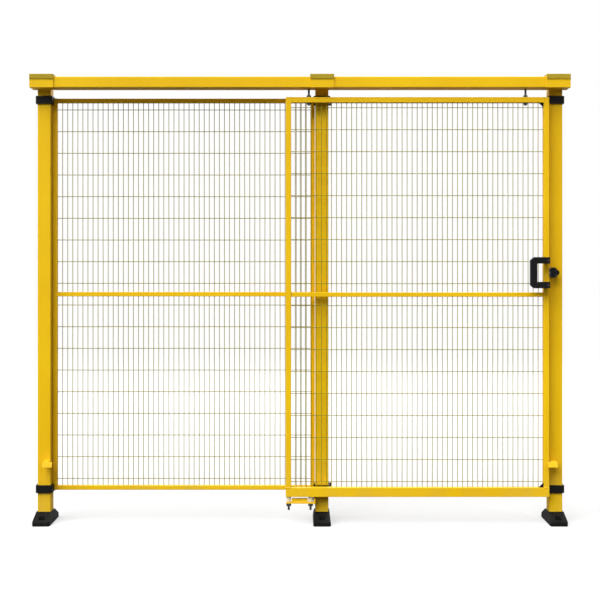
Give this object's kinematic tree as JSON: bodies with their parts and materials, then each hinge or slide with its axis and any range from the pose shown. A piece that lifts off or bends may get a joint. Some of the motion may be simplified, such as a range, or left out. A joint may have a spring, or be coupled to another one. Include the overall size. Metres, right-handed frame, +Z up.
{
  "type": "machine guard fence with sliding door",
  "caption": "Safety fence section for machines: a fixed wire mesh panel beside a doorway with a top-hung sliding mesh door on a track over square posts.",
  "frame": {"origin": "on the floor, at the middle of the middle post's foot", "axes": "+X to the right seen from the front, where the door is; +Y to the back; +Z up"},
  "size_m": [2.44, 0.2295, 2.041],
  "materials": {
    "yellow_paint": "semi-gloss powder coat",
    "mesh_paint": "semi-gloss powder coat on wire",
    "black_casting": "black powder coat",
    "black_moulding": "fine-grained moulding",
    "olive_moulding": "moulded cap",
    "amber_pad": "cast elastic pad",
    "zinc": "zinc plated",
    "nylon": "satin",
    "cream_nylon": "satin"
  },
  "bodies": {
    "fence": {"foot_left": "black_casting", "foot_middle": "black_casting", "foot_right": "black_casting", "post_left": "yellow_paint", "post_middle": "yellow_paint", "post_right": "yellow_paint", "clamps_left": "black_moulding", "clamps_middle": "black_moulding", "clamps_right": "black_moulding", "saddle_left": "yellow_paint", "saddle_middle": "yellow_paint", "saddle_right": "yellow_paint", "saddle_covers": "olive_moulding", "door_track": "yellow_paint", "panel_stiles": "yellow_paint", "panel_rails": "yellow_paint", "panel_mesh_upper": "mesh_paint", "panel_mesh_lower": "mesh_paint", "door_stops": "yellow_paint", "stop_buffers": "amber_pad", "guide_bracket": "yellow_paint", "guide_rollers": "cream_nylon", "guide_pins": "zinc", "latch_keeper": "black_moulding"},
    "door": {"door_stiles": "yellow_paint", "door_top_rail": "yellow_paint", "door_mid_rail": "yellow_paint", "door_bottom_channel": "yellow_paint", "door_gussets": "black_moulding", "door_mesh_upper": "mesh_paint", "door_mesh_lower": "mesh_paint", "trolley_left": "zinc", "trolley_right": "zinc", "trolley_wheels": "nylon", "hanger_bolts": "zinc", "door_handle": "black_moulding", "latch_tongue": "zinc"}
  },
  "joints": [
    {"name": "door_slide", "type": "slide", "parent": "fence", "child": "door", "axis": [-1, 0, 0], "range_m": [0, 1.06]}
  ]
}
